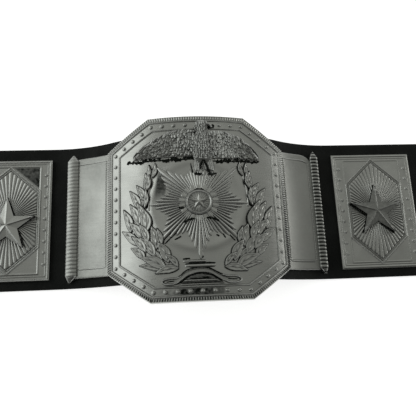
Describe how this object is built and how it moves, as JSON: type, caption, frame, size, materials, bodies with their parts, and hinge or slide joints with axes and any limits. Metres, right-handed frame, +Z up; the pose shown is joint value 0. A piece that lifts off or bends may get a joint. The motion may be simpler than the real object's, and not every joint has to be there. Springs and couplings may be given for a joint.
{
  "type": "championship belt",
  "caption": "Championship belt: black leather strap with an arched octagonal cast plate, framed wing panels, star side plates and snap ends.",
  "frame": {"origin": "middle of the belt's footprint, on the surface that it lies on", "axes": "+X along the belt to the wearer's left as seen from the front, +Y to the belt's upper edge, +Z up off the surface, out of the plates' faces"},
  "size_m": [1.2064, 0.164, 0.0518],
  "materials": {
    "leather": "black grained leather, satin",
    "cast_metal": "plated cast metal, polished fields and darkened recesses",
    "snap_metal": "plated, smooth"
  },
  "bodies": {
    "root": {"strap": "leather", "centre_plate": "cast_metal", "wing_left": "cast_metal", "wing_right": "cast_metal", "side_plate_left": "cast_metal", "side_plate_right": "cast_metal", "snap_cap_1": "snap_metal", "snap_cap_2": "snap_metal", "snap_cap_3": "snap_metal", "snap_cap_4": "snap_metal", "snap_stud_1": "snap_metal", "snap_stud_2": "snap_metal", "snap_stud_3": "snap_metal", "snap_stud_4": "snap_metal"}
  },
  "joints": []
}
